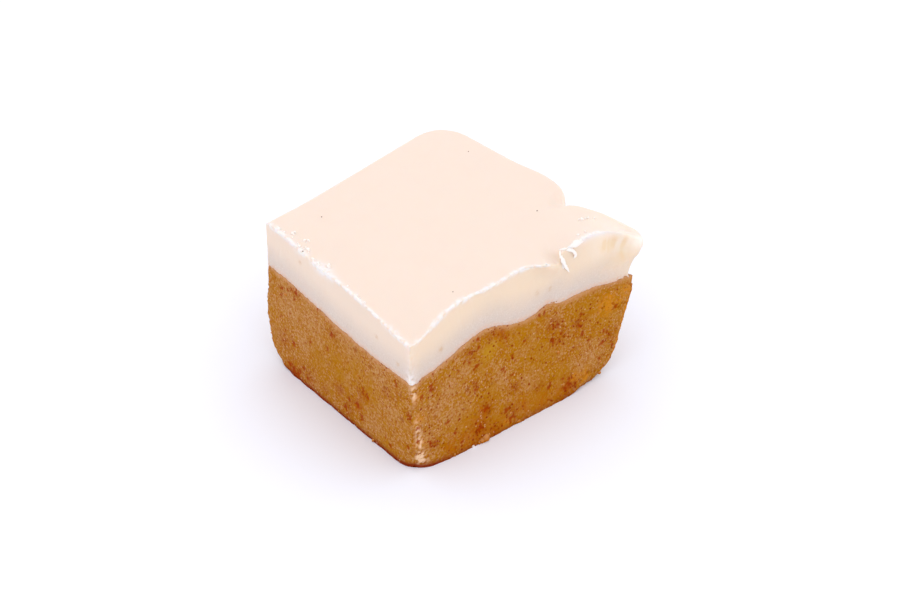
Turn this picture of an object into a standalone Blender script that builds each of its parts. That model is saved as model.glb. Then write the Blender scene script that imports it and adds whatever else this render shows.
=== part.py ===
"""A hand-cut piece of two-layer fudge: a grainy brown base with a smooth white layer poured on top.

It is the corner piece of a slab. The front and the left side are knife cuts, nearly upright. The right
side and the back were cast against the walls of a tin, so they flare, turn under at the foot and meet
in a rounded corner. Each layer is one solid.

Lengths are in millimetres and run from the foot of the front left corner: along the front cut (x),
along the left cut (y) and up (z). They become metres, about the middle of the plan, in the mesh.
"""

from math import cos, exp, hypot, pi, sin, sqrt

import bmesh
import bpy
from mathutils import Matrix, Vector

for leftover in list(bpy.data.objects):
    bpy.data.objects.remove(leftover, do_unlink=True)

MM = 0.001
PLAN_CENTRE = (18.947, 18.451)  # middle of the plan's bounding box, the origin of the finished part

# The slab
FRONT_LENGTH = 37.0  # front cut at the top, from the left corner to the tin wall
LEFT_LENGTH = 31.2  # left cut at the top
HEIGHT = 22.7  # flat middle of the top
SEAM_HEIGHT = 15.3  # where the white layer starts, on average
LAYER_GAP = 0.3  # clearance between the two solids

# The two knife cuts
LEFT_FOOT = -0.6  # the cut bulges this far at the foot
LEFT_LEAN = -0.0134  # and at the front corner this much more for each millimetre up
FRONT_FOOT = -0.62
FRONT_LEAN = 0.097  # the front cut leans in between its two corners
FRONT_LEAN_STARTS = (-1.0, 9.0)
FRONT_LEAN_ENDS = (32.0, 35.5)
CORNER_WEAR = 3.4  # radius of the corner between the cuts where it is crushed at the foot
CORNER_WEAR_HEIGHT = 6.0  # it is square again from here up

# The two tin walls
BACK_SKEW = 0.168  # the back wall isn't parallel to the front cut
RIGHT_SKEW = -0.077  # nor the right wall to the left cut
FLARE_TOP = 12.5  # the tin's right wall is upright above this height and slopes in below it
FLARE_FRONT = 0.28  # slope at the front cut
FLARE_BACK = 0.12  # slope at the tin's corner
FOOT_HEIGHT = 4.2  # the walls turn under from here down
FOOT_WIDTH = 4.6
BACK_BELLY = (1.05, 8.4, 5.0)  # how far it bulges, where its middle is and how far it reaches
TIN_CORNER_RADIUS = 5.2
TOP_EDGE_RADIUS = 0.8  # along the tin walls the top edge set soft

# Uneven places, each as (how much, where its middle is, how far it reaches)
TOP_FALL_LEFT = (0.35, 3.0)
TOP_FALL_ENDS = (20.0, 27.0)
TOP_CORNER_DROOP = (1.5, 4.5, 8.0)
TOP_SWELLS = ((0.4, 18.0, 2.2), (0.6, 30.0, 3.0))
TOP_SWELL_REACH = 3.0
LOBE_CORNER_DROOP = (1.7, 1.9, 3.4)
SEAM_SWELLS = ((1.6, 12.0, 4.0), (0.8, 23.0, 1.8), (-1.4, 37.5, 4.0))
SEAM_SWELL_REACH = 9.0
SEAM_SAG_LEFT = (0.7, 7.0, 9.0)
SEAM_SAG_REACH = 4.0
SEAM_RISE_BACK = (0.8, 15.0, 30.0)
WALL_SWELLS = ((0.55, 17.2, 3.4), (-1.3, 7.8, 3.2), (-1.6, 10.6, 1.8))  # a bulge, a hollow and a notch
WALL_SWELL_FOOT = (15.5, 20.0)  # they fade out between these heights
NOTCH_DIP = (0.7, 10.4, 1.8)  # the top falls into the notch
NOTCH_DIP_REACH = 2.2
CURL = (0.9, 22.3, 1.4)  # the top edge smeared forward over the front cut
CURL_FOOT = (19.5, 22.0)
CHIP = (1.3, 24.2, 1.1)  # and broken away beside it
CHIP_REACH = 1.6

# The lobe: the white layer squeezed out past the base at the front right corner
LOBE_OUT = 2.3
LOBE_REACH = (4.6, 2.6)  # along the tin wall and along the front cut
LOBE_UNDERSIDE = (16.9, 19.2)
LOBE_SHOULDER = (19.4, 23.4)
LOBE_SHOULDER_FALL = 0.9  # share of the lobe that is gone at the top of its shoulder
LOBE_FRONT_OUT = 0.6
LOBE_RADIUS = 2.4
WAIST = (1.0, 15.6, 1.5)  # below the lobe the wall draws in

# Facets
FRONT_FACETS = 28
LEFT_FACETS = 24
FOOT_FACETS = 5
BASE_SIDE_FACETS = 4
TOP_SIDE_FACETS = 6
TOP_EDGE_FACETS = 3

# Colours, as linear light, and how dull each layer is
BROWN = (0.445, 0.181, 0.04)
BROWN_ROUGHNESS = 0.6
WHITE = (0.956, 0.807, 0.687)
WHITE_ROUGHNESS = 0.5


def smooth(low, high, value):
    """0 below low, 1 above high, and an even S between."""
    share = min(max((value - low) / (high - low), 0.0), 1.0)
    return share * share * (3.0 - 2.0 * share)


def hump(value, middle, reach):
    """1 in the middle, falling to about a third at its reach."""
    return exp(-(((value - middle) / reach) ** 2))


def between(start, end, share):
    return start + (end - start) * share


def top_height(along, across):
    """Height of the top: flat, with a fall to the left, drooping corners, swells and a chip at the front."""
    fall, fall_reach = TOP_FALL_LEFT
    fall *= 1.0 - smooth(*TOP_FALL_ENDS, across)
    droop, droop_along, droop_across = TOP_CORNER_DROOP
    height = HEIGHT - fall * exp(-along / fall_reach)
    height -= droop * hump(along, 0.0, droop_along) * hump(across, 0.0, droop_across)
    for rise, middle, reach in TOP_SWELLS:
        height += rise * hump(along, middle, reach) * hump(across, 0.0, TOP_SWELL_REACH)
    droop, droop_along, droop_across = LOBE_CORNER_DROOP
    height -= droop * hump(along, FRONT_LENGTH, droop_along) * hump(across, 0.0, droop_across)
    dip, middle, reach = NOTCH_DIP
    height -= dip * hump(across, middle, reach) * hump(along, FRONT_LENGTH, NOTCH_DIP_REACH)
    depth, middle, reach = CHIP
    return height - depth * hump(along, middle, reach) * hump(across, 0.0, CHIP_REACH)


def seam_height(along, across):
    """Height of the seam between the layers, which wanders along both cuts."""
    sag, sag_middle, sag_reach = SEAM_SAG_LEFT
    rise, rise_start, rise_end = SEAM_RISE_BACK
    height = SEAM_HEIGHT + rise * smooth(rise_start, rise_end, across)
    height -= sag * hump(across, sag_middle, sag_reach) * hump(along, 0.0, SEAM_SAG_REACH)
    for swell, middle, reach in SEAM_SWELLS:
        height += swell * hump(along, middle, reach) * hump(across, 0.0, SEAM_SWELL_REACH)
    return height


def lobe(z):
    """How far the lobe stands out at a height: a sharp underside and a long round shoulder."""
    return smooth(*LOBE_UNDERSIDE, z) * (1.0 - LOBE_SHOULDER_FALL * smooth(*LOBE_SHOULDER, z))


def foot_inset(z):
    """How far a tin wall has turned under at a height: a quarter of an ellipse."""
    share = min(z / FOOT_HEIGHT, 1.0)
    return FOOT_WIDTH * (1.0 - sqrt(1.0 - (1.0 - share) ** 2))


def top_inset(below_top):
    """The soft top edge along the tin walls: a quarter of a circle."""
    share = min(max(below_top, 0.0) / TOP_EDGE_RADIUS, 1.0)
    return TOP_EDGE_RADIUS * (1.0 - sqrt(1.0 - (1.0 - share) ** 2))


def left_cut(across, z):
    return LEFT_FOOT + LEFT_LEAN * z * (1.0 - smooth(0.0, LEFT_LENGTH, across))


def front_cut(along, z):
    middle = smooth(*FRONT_LEAN_STARTS, along) * (1.0 - smooth(*FRONT_LEAN_ENDS, along))
    squeezed = LOBE_FRONT_OUT * lobe(z) * hump(along, FRONT_LENGTH, LOBE_REACH[1])
    curl, curl_middle, curl_reach = CURL
    curled = curl * hump(along, curl_middle, curl_reach) * smooth(*CURL_FOOT, z)
    return middle * (FRONT_FOOT + FRONT_LEAN * z) - squeezed - curled


def right_wall(across, z, below_top):
    flare = between(FLARE_FRONT, FLARE_BACK, smooth(0.0, LEFT_LENGTH, across))
    wall = FRONT_LENGTH + RIGHT_SKEW * across - flare * max(FLARE_TOP - z, 0.0)
    for swell, middle, reach in WALL_SWELLS:
        wall += swell * hump(across, middle, reach) * smooth(*WALL_SWELL_FOOT, z)
    waist, height, reach = WAIST
    wall += (LOBE_OUT * lobe(z) - waist * hump(z, height, reach)) * hump(across, 0.0, LOBE_REACH[0])
    return wall - foot_inset(z) - top_inset(below_top)


def back_wall(along, z, below_top):
    wall = LEFT_LENGTH + BACK_SKEW * along + BACK_BELLY[0] * hump(z, *BACK_BELLY[1:])
    return wall - foot_inset(z) - top_inset(below_top)


def round_corner(point, corner, inward, radius):
    """Draws a square corner in to a round one, ring by ring; inward is the sign of x and y away from it."""
    x, y = point
    dx = radius - (x - corner[0]) * inward[0]
    dy = radius - (y - corner[1]) * inward[1]
    if dx <= 0.0 or dy <= 0.0:
        return point
    share = 1.0 - max(dx, dy) / hypot(dx, dy)
    return x + dx * share * inward[0], y + dy * share * inward[1]


def place(share, floor, roof):
    """Turns shares of the block's length, width and height into a point of the fudge."""
    along = between(LEFT_FOOT, FRONT_LENGTH, share.x)
    across = (LEFT_LENGTH + BACK_SKEW * along) * share.y
    z = between(floor(along, across), roof(along, across), share.z)
    below_top = top_height(along, across) - z
    left, right = left_cut(across, z), right_wall(across, z, below_top)
    front, back = front_cut(along, z), back_wall(along, z, below_top)
    point = (between(left, right, share.x), between(front, back, share.y))
    worn = CORNER_WEAR * (1.0 - smooth(0.0, CORNER_WEAR_HEIGHT, z))
    point = round_corner(point, (right, back), (-1.0, -1.0), TIN_CORNER_RADIUS)
    point = round_corner(point, (left, front), (1.0, 1.0), worn)
    point = round_corner(point, (right, front), (-1.0, 1.0), LOBE_RADIUS * lobe(z))
    return Vector((point[0] - PLAN_CENTRE[0], point[1] - PLAN_CENTRE[1], z)) * MM


def even_steps(count):
    return [step / count for step in range(1, count)]


def sliced_block(levels, plain_floor):
    """A unit block sliced along its length, its width and the given levels of its height."""
    bm = bmesh.new()
    bmesh.ops.create_cube(bm, size=1.0, matrix=Matrix.Translation((0.5, 0.5, 0.5)))
    floor = min(bm.faces, key=lambda face: face.calc_center_median().z)
    slices = (even_steps(FRONT_FACETS), even_steps(LEFT_FACETS), levels)
    for axis, places in enumerate(slices):
        normal = Vector([float(axis == other) for other in range(3)])
        for share in places:
            faces = [face for face in bm.faces if not (plain_floor and face is floor)]
            cut = bm.verts[:] + bm.edges[:] + faces
            bmesh.ops.bisect_plane(bm, geom=cut, dist=1e-5, plane_co=normal * share, plane_no=normal)
    return bm


def candy(name, colour, roughness):
    material = bpy.data.materials.new(name)
    material.use_nodes = True
    surface = material.node_tree.nodes["Principled BSDF"]
    surface.inputs["Base Color"].default_value = (*colour, 1.0)
    surface.inputs["Roughness"].default_value = roughness
    surface.inputs["Metallic"].default_value = 0.0
    return material


def layer(name, levels, floor, roof, material, plain_floor=False):
    bm = sliced_block(levels, plain_floor)
    for vert in bm.verts:
        vert.co = place(vert.co, floor, roof)
    mesh = bpy.data.meshes.new(name)
    bm.to_mesh(mesh)
    bm.free()
    mesh.materials.append(material)
    piece = bpy.data.objects.new(name, mesh)
    bpy.context.scene.collection.objects.link(piece)
    return piece


def base_layer():
    """The brown layer, from the flat foot to the seam, with closer levels where the tin walls turn under."""
    foot = FOOT_HEIGHT / SEAM_HEIGHT
    turns = [foot * (1.0 - cos(0.5 * pi * step / FOOT_FACETS)) for step in range(1, FOOT_FACETS + 1)]
    sides = [between(foot, 1.0, share) for share in even_steps(BASE_SIDE_FACETS)]
    return layer(
        "base_layer",
        turns + sides,
        lambda along, across: 0.0,
        lambda along, across: seam_height(along, across) - 0.5 * LAYER_GAP,
        candy("brown_fudge", BROWN, BROWN_ROUGHNESS),
        plain_floor=True,
    )


def white_layer():
    """The white layer, from the seam to the top, with closer levels at the soft top edge."""
    edge = 1.0 - TOP_EDGE_RADIUS / (HEIGHT - SEAM_HEIGHT)
    sides = [edge * step / TOP_SIDE_FACETS for step in range(1, TOP_SIDE_FACETS + 1)]
    rounds = [between(edge, 1.0, sin(0.5 * pi * share)) for share in even_steps(TOP_EDGE_FACETS)]
    return layer(
        "white_layer",
        sides + rounds,
        lambda along, across: seam_height(along, across) + 0.5 * LAYER_GAP,
        top_height,
        candy("white_fudge", WHITE, WHITE_ROUGHNESS),
    )


base_layer()
white_layer()
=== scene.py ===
"""A hand-cut corner piece of two-layer fudge: a grainy brown base under a smooth white top.

The sections follow the way it was made: the brown layer pressed into the tin, the white layer poured on it,
what the knife left on both, and then the table, the light and the camera.

Lengths are in millimetres and run from the foot of the front left corner: along the front cut (x), along
the left cut (y) and up (z). They become metres, about the middle of the plan, in the meshes.
"""
import random
from math import cos, pi, radians, sin

import bmesh
import bpy
import numpy as np
from mathutils import Matrix, Vector, geometry, noise
from mathutils.kdtree import KDTree


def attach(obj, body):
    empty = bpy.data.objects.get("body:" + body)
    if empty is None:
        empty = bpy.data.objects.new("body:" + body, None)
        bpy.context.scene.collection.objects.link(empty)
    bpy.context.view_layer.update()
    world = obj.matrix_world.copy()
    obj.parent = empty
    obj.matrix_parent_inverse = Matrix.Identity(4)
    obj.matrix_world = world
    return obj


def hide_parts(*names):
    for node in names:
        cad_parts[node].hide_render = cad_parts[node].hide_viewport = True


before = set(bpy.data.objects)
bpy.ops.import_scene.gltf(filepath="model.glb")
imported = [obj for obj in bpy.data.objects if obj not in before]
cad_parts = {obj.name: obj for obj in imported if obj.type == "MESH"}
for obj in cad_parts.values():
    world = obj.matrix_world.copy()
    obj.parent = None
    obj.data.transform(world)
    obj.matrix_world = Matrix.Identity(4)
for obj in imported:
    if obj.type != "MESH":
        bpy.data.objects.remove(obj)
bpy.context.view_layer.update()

# ----------------------------------------
# The base layer
# Brown fudge, a paste of boiled sugar, butter and fine crumb, pressed into a tin while warm. The tin's right
# and back walls gave it a flared side and a rounded foot. The front and the left side were cut with a knife,
# which dragged fine streaks down the paste, opened its pores and crushed its corner.

MM = 0.001
PLAN_CENTRE = np.array([18.947, 18.451, 0.0])

FRONT_LENGTH = 37.0  # front cut at the top, from the left corner to the tin wall
LEFT_LENGTH = 31.2  # left cut at the top
SEAM_HEIGHT = 15.3
# Where it swells and sags, each as (how far up, where and reach along, where and reach across)
SEAM_FORMS = (
    (-0.7, 0.0, 4.0, 7.0, 9.0), (1.6, 12.0, 4.0, 0.0, 9.0), (0.8, 23.0, 1.8, 0.0, 9.0),
    (-1.4, 37.5, 4.0, 0.0, 9.0), (1.1, 36.3, 2.2, 0.0, 1.5), (-0.55, 0.42, 0.5, 0.0, 1.0),
)
SEAM_RISE_BACK = (0.8, 15.0, 30.0)
SEAM_WANDER = ((0.16, 2.4), (0.1, 0.7), (0.07, 0.35))  # each as (how far up and down, how wide)

# Where each cut meets the table, and how it leans for each millimetre up
LEFT_FOOT, LEFT_LEAN = -0.6, -0.0134
FRONT_FOOT, FRONT_LEAN = -0.62, 0.097
FRONT_LEAN_STARTS = (-1.0, 9.0)
FRONT_LEAN_ENDS = (32.0, 35.5)
CORNER_WEAR, CORNER_WEAR_HEIGHT = 3.4, 6.0

BACK_SKEW, RIGHT_SKEW = 0.168, -0.077  # the tin walls aren't square to the cuts
FLARE_TOP = 12.5  # below this the right wall draws in
FLARE_FRONT, FLARE_BACK = 0.28, 0.12  # by this much for each millimetre down
FOOT_HEIGHT, FOOT_WIDTH = 4.2, 4.6  # the tin walls turn under at the foot
BACK_BELLY = (1.05, 8.4, 5.0)  # how far out, at what height, reach
TIN_CORNER_RADIUS = 5.2

FINE_STEP = 0.17  # between the points of the sides
HIDDEN_STEP = 1.5  # and between those inside the faces that nobody sees
FOOT_LEVELS = 40
FOOT_CROWDING = 1.6  # the levels crowd towards the table, where the tin walls turn under fastest

PASTE_LUMPS = ((0.05, 1.5), (0.022, 0.45))  # each as (how high, how wide)
PASTE_STREAKS = (0.022, 0.35, 4.5, 0.35)  # how high, how wide, how long, and how far they lean
TIN_WALL_CALM = 0.6  # share of the lumps that the tin pressed flat
TIN_WALL_DUST = 0.45  # share of the pale dust that shows there
PORES = ((0.11, 0.9, 0.24, 0.14), (0.2, 2.3, 0.42, 0.1))  # depth, spacing, radius, share of places
PORES_IN_DARK_PLACES = 0.35
PORES_ON_TIN_WALL = 0.4  # share of the pores that the tin left open
PORE_SIZES = (0.6, 1.3)  # the smallest and the largest, as shares of their radius
PORE_LUCK, PORE_LOT = 37.0, 91.0  # any two numbers; they settle which pores are there, and their sizes
PORE_STAIN = 0.8
EDGE_WEAR = (0.14, 0.5, 1.3)  # depth, reach and width of its bites, along the upright edges
RIM_WEAR = (0.1, 0.4, 1.6)  # and along the edge on the table
WEAR_BITES = (0.45, 0.9)  # how much of the depth is worn on average, and how much that changes
FACING = (0.5, 0.8)  # a point is partly, then wholly, on a cut as it turns to face the cut's way

# Places on the cuts, each as (along the cut, up, reach)
DARK_ON_FRONT = (
    (3.1, 12.2, 0.6), (9.4, 14.2, 0.9), (14.6, 15.0, 0.8), (12.9, 15.6, 0.8), (23.2, 12.5, 1.2),
    (24.5, 10.4, 1.3), (28.0, 10.8, 1.3), (33.3, 6.5, 0.9), (25.9, 1.8, 1.3), (15.4, 2.8, 1.1),
    (11.6, 5.0, 1.2), (10.2, 2.5, 1.5), (12.7, 0.9, 1.0), (9.9, 9.8, 0.6), (16.4, 5.9, 0.9),
    (2.9, 3.4, 0.9), (20.3, 4.0, 0.8),
)
DARK_ON_LEFT = (
    (10.6, 6.6, 1.0), (11.8, 4.1, 1.0), (25.1, 14.9, 0.6), (26.8, 0.8, 1.4), (23.0, 2.0, 1.4),
    (13.5, 2.6, 0.8), (15.7, 4.3, 1.1), (0.5, 9.2, 0.6), (19.2, 2.1, 0.8), (5.2, 10.4, 0.8),
    (16.8, 12.7, 0.7), (28.5, 5.0, 1.4),
)
OCHRE_ON_FRONT = (
    (12.2, 14.0, 1.6), (10.9, 12.0, 1.6), (17.7, 13.5, 3.0), (20.9, 8.9, 3.5), (29.0, 12.3, 3.0),
    (32.5, 10.0, 2.0), (20.6, 2.7, 2.5), (24.2, 4.2, 2.0), (8.6, 4.5, 2.2), (12.2, 6.7, 2.0),
    (13.0, 1.5, 3.0),
)
OCHRE_ON_LEFT = (
    (20.0, 6.7, 2.0), (16.5, 9.2, 2.0), (12.1, 9.8, 2.0), (15.5, 6.9, 2.2), (9.0, 8.0, 2.0),
    (6.0, 1.5, 1.5),
)
PALE_ON_FRONT = (
    (14.0, 8.2, 1.6), (19.0, 5.9, 1.6), (29.6, 4.9, 1.6), (27.8, 3.8, 1.4), (5.8, 10.5, 1.8),
    (3.2, 8.7, 1.8), (6.3, 6.4, 1.8), (8.6, 12.4, 1.3), (1.8, 5.0, 1.4),
)
PALE_ON_LEFT = (
    (26.5, 12.0, 3.0), (21.9, 12.2, 3.0), (29.4, 5.3, 1.6), (23.4, 7.2, 1.6), (13.0, 13.3, 2.4),
    (6.7, 12.3, 2.4), (8.0, 3.1, 1.5), (4.7, 7.8, 1.5), (16.0, 14.2, 1.5),
)
GOLD_ON_FRONT = ((12.3, 13.2, 1.0), (13.2, 13.9, 0.7))
HONEY_ON_FRONT = (
    (32.8, 11.6, 1.6), (33.5, 12.7, 0.7), (36.0, 12.9, 1.3), (34.8, 11.6, 0.7), (0.3, 8.6, 0.9),
    (0.6, 4.6, 0.8), (0.2, 12.2, 0.7), (26.8, 2.6, 0.8), (14.6, 1.0, 0.7), (28.6, 2.0, 1.0),
)
HONEY_EDGE = 0.5  # and this wide down the edge beside the tin wall
AMBER_ON_FRONT = (
    (9.3, 1.9, 2.8), (13.0, 1.0, 2.0), (11.3, 4.5, 1.3), (24.8, 1.6, 1.6), (14.5, 15.2, 1.0),
    (17.5, 2.2, 1.8), (21.0, 1.5, 1.6), (5.5, 1.6, 1.4),
)
AMBER_ON_LEFT = ((9.8, 6.8, 0.8), (11.6, 4.2, 0.9), (26.5, 1.0, 1.3))
# The pits that stand out, each as (along the cut, up), by radius
PITS_ON_FRONT = {
    0.2: (
        (23.6, 12.1), (28.3, 12.1), (29.9, 7.7), (32.8, 7.3), (33.6, 5.3), (31.6, 5.8), (22.0, 15.0),
        (21.1, 15.0), (8.3, 13.4), (9.4, 14.6), (7.4, 12.6),
    ),
    0.23: (
        (24.7, 10.6), (29.5, 7.4), (24.7, 3.4), (25.8, 2.8), (22.4, 3.7), (26.8, 1.6), (5.1, 5.9),
        (11.7, 5.0), (9.8, 11.7), (10.8, 14.6), (10.8, 16.0), (18.3, 12.3), (16.1, 8.0), (15.3, 3.2),
        (16.2, 10.8), (2.9, 14.6), (0.2, 7.3), (0.3, 5.2), (9.2, 13.0),
    ),
    0.27: (
        (24.1, 12.2), (28.0, 10.3), (32.2, 7.6), (33.9, 4.6), (32.0, 6.1), (6.2, 3.5), (7.2, 1.8),
        (9.9, 8.6), (14.6, 9.7), (15.5, 14.0), (0.9, 12.0),
    ),
    0.31: (
        (34.2, 10.9), (28.4, 8.7), (31.4, 3.4), (22.2, 3.2), (2.5, 12.3), (10.0, 2.1), (11.2, 4.8),
        (10.3, 12.0), (15.9, 1.7), (14.8, 3.0),
    ),
    0.35: ((25.1, 1.7), (2.2, 3.9)),
    0.39: ((23.2, 10.1), (2.6, 12.8), (10.3, 2.6), (15.4, 1.4)),
    0.47: ((25.7, 2.0),),
}
PITS_ON_LEFT = {
    0.2: ((5.7, 2.6), (27.9, 7.0)),
    0.23: (
        (26.9, 14.2), (25.4, 13.6), (19.9, 15.2), (22.1, 8.5), (26.5, 10.7), (5.1, 14.5), (4.8, 1.8),
        (29.0, 8.6),
    ),
    0.27: (
        (28.3, 13.9), (26.0, 14.9), (28.5, 12.6), (18.1, 9.7), (23.9, 2.8), (10.4, 7.7), (0.7, 9.6),
        (1.1, 4.1),
    ),
    0.31: ((24.9, 1.6), (23.1, 1.7), (3.1, 13.0), (13.6, 3.8), (9.5, 7.0), (0.4, 9.1)),
    0.35: ((16.9, 12.6), (11.0, 2.7)),
    0.39: ((24.9, 15.0), (26.1, 5.8), (27.3, 1.7), (11.8, 4.2)),
    0.43: ((14.5, 2.1),),
    0.47: ((26.4, 1.3), (25.5, 1.0)),
}
PIT_DEPTH = 0.07
PIT_RAGGED = (1.1, 0.35)  # how uneven their rims are, and how wide the dents in these
PIT_TALL = 0.8  # they are a little taller than wide, the way that the knife went
PIT_WALL = 2.4  # how steep they are
# Smears up the corner between the cuts, partly painted highlight where the crushed corner catches the light,
# each as (up, reach, how pale)
SMEARS_AT_CORNER = ((13.3, 1.5, 0.9), (8.0, 1.0, 0.4), (5.2, 2.2, 1.1), (1.9, 1.3, 1.2))
SMEAR_WIDTH = 0.46
SMEAR_FOOT = 0.6  # it is this much wider at the foot
SMEAR_FOOT_HEIGHT = (4.0, 1.0)
SMEAR_LEAN = (0.085, 0.25)  # they run towards the front cut lower down; how steeply, and from where
# Patches, each as (amount in the middle, how much it changes, least, most), and the width of their ground
SMEAR_PATCHES, SMEAR_GROUND = (0.75, 2.8, 0.0, 1.3), 0.55
HONEY_PATCHES, HONEY_GROUND = (0.8, 1.6, 0.15, 1.15), 0.55  # amber's too
HONEY_EDGE_STARTS = (1.0, 4.0)  # it starts this far up
AMBER_HIDES_DUST = 0.6
# Painted contact shadow: the paste is painted darker along the table
FOOT_SHADE = (1.5, 0.7)  # dark along the table; how strong, and how far up
FOOT_SHADE_PLACES = (0.35, 0.4, 0.5, 5.0)  # everywhere, more on the left cut, more at the corner, its reach
SEAM_BLUSH_REACH = 0.6  # where it meets the white layer it is paler


def smooth(low, high, value):
    """0 below low, 1 above high, and an even S between."""
    share = np.clip((value - low) / (high - low), 0.0, 1.0)
    return share * share * (3.0 - 2.0 * share)


def hump(value, middle, reach):
    """1 in the middle, falling to about a third at its reach."""
    return np.exp(-(((value - middle) / reach) ** 2))


def between(start, end, share):
    return start + (end - start) * share


def quarter_round(distance, height, width):
    """How far a quarter of an ellipse draws a wall in, this far from the end of the wall."""
    share = np.clip(distance / height, 0.0, 1.0)
    return width * (1.0 - np.sqrt(1.0 - (1.0 - share) ** 2))


def fractal(points, size, octaves=3):
    """Uneven ground between about -1 and 1, with lumps of this size."""
    places = (points / np.array(size)).tolist()
    return np.array([noise.fractal(place, 1.0, 2.0, octaves) for place in places])


def patchy(ground, middle, change, least, most):
    """An amount that comes and goes with this ground."""
    return np.clip(middle + change * ground, least, most)


def heaped(forms, along, across):
    """How high these swells and sags stand together."""
    height = 0.0 * along
    for up, middle, reach, across_middle, across_reach in forms:
        height = height + up * hump(along, middle, reach) * hump(across, across_middle, across_reach)
    return height


def seam_height(along, across):
    rise, start, end = SEAM_RISE_BACK
    height = SEAM_HEIGHT + rise * smooth(start, end, across) + heaped(SEAM_FORMS, along, across)
    for wander, width in SEAM_WANDER:
        height = height + wander * fractal(np.stack((along, across, 0.0 * along), axis=-1), width, 2)
    return height


def pressed_sides(along, across, z):
    """Where the left cut, the tin's right wall, the front cut and the tin's back wall are.

    Last come the radii of the two front corners."""
    left = LEFT_FOOT + LEFT_LEAN * z * (1.0 - smooth(0.0, LEFT_LENGTH, across))
    middle = smooth(*FRONT_LEAN_STARTS, along) * (1.0 - smooth(*FRONT_LEAN_ENDS, along))
    front = middle * (FRONT_FOOT + FRONT_LEAN * z)
    foot = quarter_round(z, FOOT_HEIGHT, FOOT_WIDTH)
    flare = between(FLARE_FRONT, FLARE_BACK, smooth(0.0, LEFT_LENGTH, across))
    right = FRONT_LENGTH + RIGHT_SKEW * across - flare * np.maximum(FLARE_TOP - z, 0.0) - foot
    back = LEFT_LENGTH + BACK_SKEW * along + BACK_BELLY[0] * hump(z, *BACK_BELLY[1:]) - foot
    worn = CORNER_WEAR * (1.0 - smooth(0.0, CORNER_WEAR_HEIGHT, z))
    return left, right, front, back, (worn, 0.0 * z)


def round_corner(x, y, corner, inward, radius):
    """Draws a square corner in to a round one, ring by ring; inward is the sign of x and y away from it."""
    dx = radius - (x - corner[0]) * inward[0]
    dy = radius - (y - corner[1]) * inward[1]
    inside = (dx > 0.0) & (dy > 0.0)
    share = np.where(inside, 1.0 - np.maximum(dx, dy) / np.maximum(np.hypot(dx, dy), 1e-9), 0.0)
    return x + dx * share * inward[0], y + dy * share * inward[1]


def in_plan(shares):
    """How far along the front and across the slab a point is, from its shares of the two lengths."""
    along = between(LEFT_FOOT, FRONT_LENGTH, shares[:, 0])
    return along, (LEFT_LENGTH + BACK_SKEW * along) * shares[:, 1]


def place(shares, heights, sides):
    """Points of the fudge from shares of the slab's length and width, at heights(along, across)."""
    along, across = in_plan(shares)
    z = heights(along, across)
    left, right, front, back, (left_radius, right_radius) = sides(along, across, z)
    x, y = between(left, right, shares[:, 0]), between(front, back, shares[:, 1])
    x, y = round_corner(x, y, (right, back), (-1.0, -1.0), TIN_CORNER_RADIUS)
    x, y = round_corner(x, y, (left, front), (1.0, 1.0), left_radius)
    x, y = round_corner(x, y, (right, front), (-1.0, 1.0), right_radius)
    return np.stack((x, y, z), axis=-1)


def level(height):
    return lambda along, across: height + 0.0 * along


def part_way(floor, roof, share):
    """Heights this share of the way from a floor to a roof."""
    return lambda along, across: between(floor(along, across), roof(along, across), share)


def rim(inset=0.0):
    """Shares of length and width once round the slab: front, right, back and left."""
    ends = (inset / FRONT_LENGTH, inset / LEFT_LENGTH)
    u = np.linspace(ends[0], 1.0 - ends[0], round(FRONT_LENGTH / FINE_STEP) + 1)
    v = np.linspace(ends[1], 1.0 - ends[1], round(LEFT_LENGTH / FINE_STEP) + 1)
    sides = ((u, v[0]), (u[-1], v), (u[::-1], v[-1]), (u[0], v[::-1]))
    return np.concatenate([np.stack(np.broadcast_arrays(*side), axis=-1)[:-1] for side in sides])


def filled(edge, step):
    """Shares inside a rim, and the triangles that join them to each other and to the rim."""
    low, high = edge.min(axis=0), edge.max(axis=0)
    counts = np.round((high - low) * (FRONT_LENGTH, LEFT_LENGTH) / step).astype(int)
    u = np.linspace(low[0], high[0], counts[0] + 1)[1:-1]
    v = np.linspace(low[1], high[1], counts[1] + 1)[1:-1]
    inner = np.stack(np.meshgrid(u, v, indexing="ij"), axis=-1).reshape(-1, 2)
    points = [Vector(point) for point in np.concatenate((edge, inner)).tolist()]
    border = [(index, (index + 1) % len(edge)) for index in range(len(edge))]
    found = geometry.delaunay_2d_cdt(points, border, [], 1, 1e-7)
    names = np.array([sources[0] for sources in found[3]])
    return inner, names[np.array(found[2])]


def skin(rings, sides, steps):
    """Points, their shares and the faces of a closed skin.

    The rings are (shares, heights) from the foot up, and the steps are those inside its two ends."""
    size = len(rings[0][0])
    shares = [ring for ring, heights in rings]
    points = [place(ring, heights, sides) for ring, heights in rings]
    here = np.arange((len(rings) - 1) * size).reshape(-1, size)
    beside = np.roll(here, -1, axis=1)
    faces = np.stack((here, beside, beside + size, here + size), axis=-1).reshape(-1, 4).tolist()
    for end, turn, step in ((0, -1, steps[0]), (len(rings) - 1, 1, steps[1])):
        inner, triangles = filled(rings[end][0], step)
        added = sum(map(len, points)) - size
        points.append(place(inner, rings[end][1], sides))
        shares.append(inner)
        faces += np.where(triangles < size, triangles + end * size, triangles + added)[:, ::turn].tolist()
    return np.concatenate(points), np.concatenate(shares), faces


def from_upright(shares, u, v):
    """How far points are from the upright edge at these shares."""
    return np.hypot((shares[:, 0] - u) * FRONT_LENGTH, (shares[:, 1] - v) * LEFT_LENGTH)


def in_metres(points):
    return ((np.asarray(points) - PLAN_CENTRE) * MM).tolist()


def put(name, data):
    """A piece, a lamp or a camera, put into the scene."""
    made = bpy.data.objects.new(name, data)
    bpy.context.scene.collection.objects.link(made)
    return made


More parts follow.
